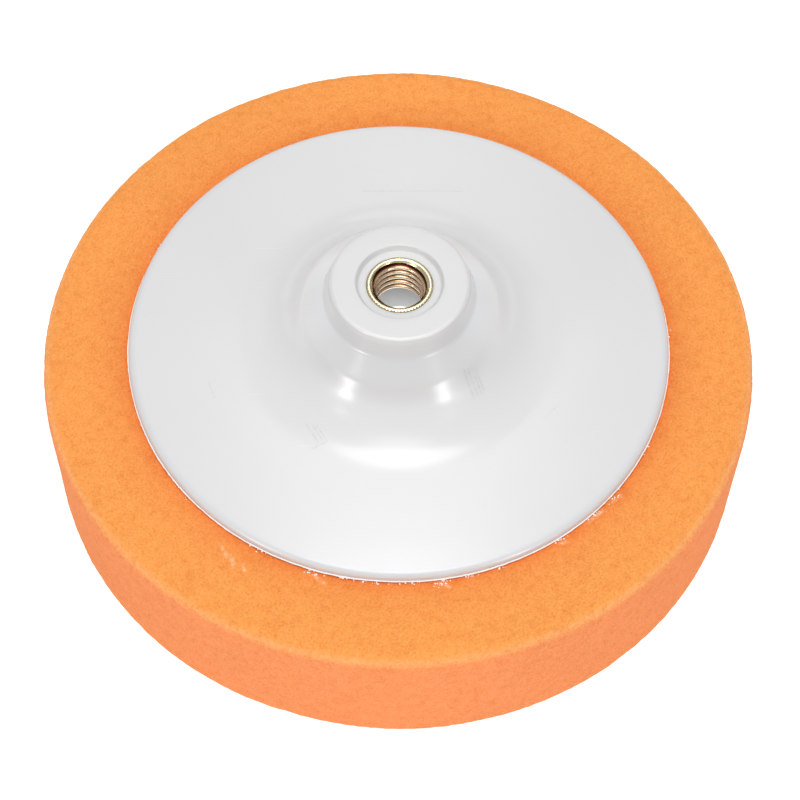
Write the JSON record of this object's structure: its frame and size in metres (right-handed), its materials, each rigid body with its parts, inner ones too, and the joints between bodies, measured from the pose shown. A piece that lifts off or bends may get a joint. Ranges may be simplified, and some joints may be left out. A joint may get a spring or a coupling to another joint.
{
  "type": "polishing pad",
  "caption": "Round foam polishing head bonded to a dished plastic backing plate with a threaded brass bush in its hub, for spindle-drive polishers.",
  "frame": {"origin": "centre of the foam's flat working face, the side that touches the paintwork", "axes": "+Z along the spindle axis, from the working face towards the hub and out of the mouth of its threaded bore; X and Y are any two directions across the round disc"},
  "size_m": [0.18, 0.18, 0.0667],
  "materials": {
    "foam": "matte",
    "adhesive": "satin",
    "plate_plastic": "gloss",
    "brass": "satin"
  },
  "bodies": {
    "backing": {"backing_plate": "plate_plastic", "threaded_insert": "brass", "adhesive_layer": "adhesive"},
    "foam": {"foam_pad": "foam"}
  },
  "joints": [
    {"name": "foam_compression", "type": "slide", "parent": "backing", "child": "foam", "axis": [0, 0, 1], "range_m": [0, 0.016], "stiffness_N_per_m": 8000, "deforming": ["foam_pad"]}
  ]
}
